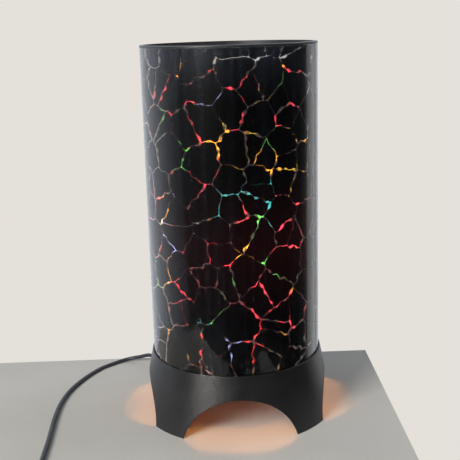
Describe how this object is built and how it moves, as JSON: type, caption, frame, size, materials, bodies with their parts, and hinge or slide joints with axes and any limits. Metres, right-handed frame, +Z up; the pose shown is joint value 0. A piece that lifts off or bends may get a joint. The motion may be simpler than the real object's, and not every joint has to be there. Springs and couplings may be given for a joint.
{
  "type": "motion lamp",
  "caption": "Table motion lamp: a crackle-printed clear sleeve on an arched base, with a colour drum that turns on a needle above the bulb, and a corded switch.",
  "frame": {"origin": "on the floor under the lamp's axis", "axes": "+Z up along the drum's axis, -Y towards the front arch"},
  "size_m": [0.2665, 0.3235, 0.326],
  "materials": {
    "base_plastic": "satin black, fine grain",
    "bridge_steel": "zinc plated sheet",
    "screw_steel": "zinc plated",
    "holder_brass": "plain brass",
    "holder_plastic": "black phenolic",
    "holder_ceramic": "white glazed ceramic",
    "bulb_glass": "frosted, lit warm white",
    "bulb_metal": "plain",
    "bulb_insulator": "black glass insulator",
    "wire_steel": "drawn bright wire",
    "sleeve_clear": "clear tube, black crackle print on its inside",
    "ring_plastic": "black",
    "cord_rubber": "satin black sheath",
    "switch_plastic": "satin black",
    "rocker_plastic": "black",
    "tie_plastic": "black",
    "pin_metal": "nickel plated",
    "drum_colour": "translucent film with red, amber, green and blue patches",
    "hoop_card": "off-white",
    "vane_aluminium": "bright pressed sheet"
  },
  "bodies": {
    "base": {"base_shell": "base_plastic", "holder_bridge": "bridge_steel", "bridge_screws": "screw_steel", "holder_nipple": "holder_brass", "holder_nut": "holder_brass", "lampholder_cap": "holder_plastic", "lampholder_skirt": "holder_plastic", "lampholder_insert": "holder_ceramic", "screw_shell": "holder_brass", "centre_contact": "holder_brass", "bulb_glass": "bulb_glass", "bulb_cap": "bulb_metal", "bulb_contact": "bulb_insulator", "needle_hoop": "wire_steel", "hoop_nuts": "screw_steel", "needle_ferrule": "holder_brass", "pivot_needle": "wire_steel", "outer_sleeve": "sleeve_clear", "top_ring": "ring_plastic", "cord_gland": "cord_rubber", "inner_lead": "cord_rubber", "cord_lead": "cord_rubber", "switch_base": "switch_plastic", "switch_cover": "switch_plastic", "switch_screws": "screw_steel", "cord_link": "cord_rubber", "cord_coil": "cord_rubber", "coil_tie": "tie_plastic", "cord_tail": "cord_rubber", "plug_body": "switch_plastic", "plug_pins": "pin_metal"},
    "drum": {"drum_film": "drum_colour", "drum_top_hoop": "hoop_card", "drum_bottom_hoop": "hoop_card", "vane_disc": "vane_aluminium", "pivot_cup": "holder_brass", "cup_rivets": "vane_aluminium"},
    "rocker": {"switch_rocker": "rocker_plastic"}
  },
  "joints": [
    {"name": "drum_spin", "type": "hinge", "parent": "base", "child": "drum", "pos_m": [0, 0, 0.308], "axis": [0, 0, 1], "continuous": true},
    {"name": "rocker_tilt", "type": "hinge", "parent": "base", "child": "rocker", "pos_m": [-0.1, -0.153, 0.012], "axis": [0, 1, 0], "range_deg": [0, 16]}
  ]
}
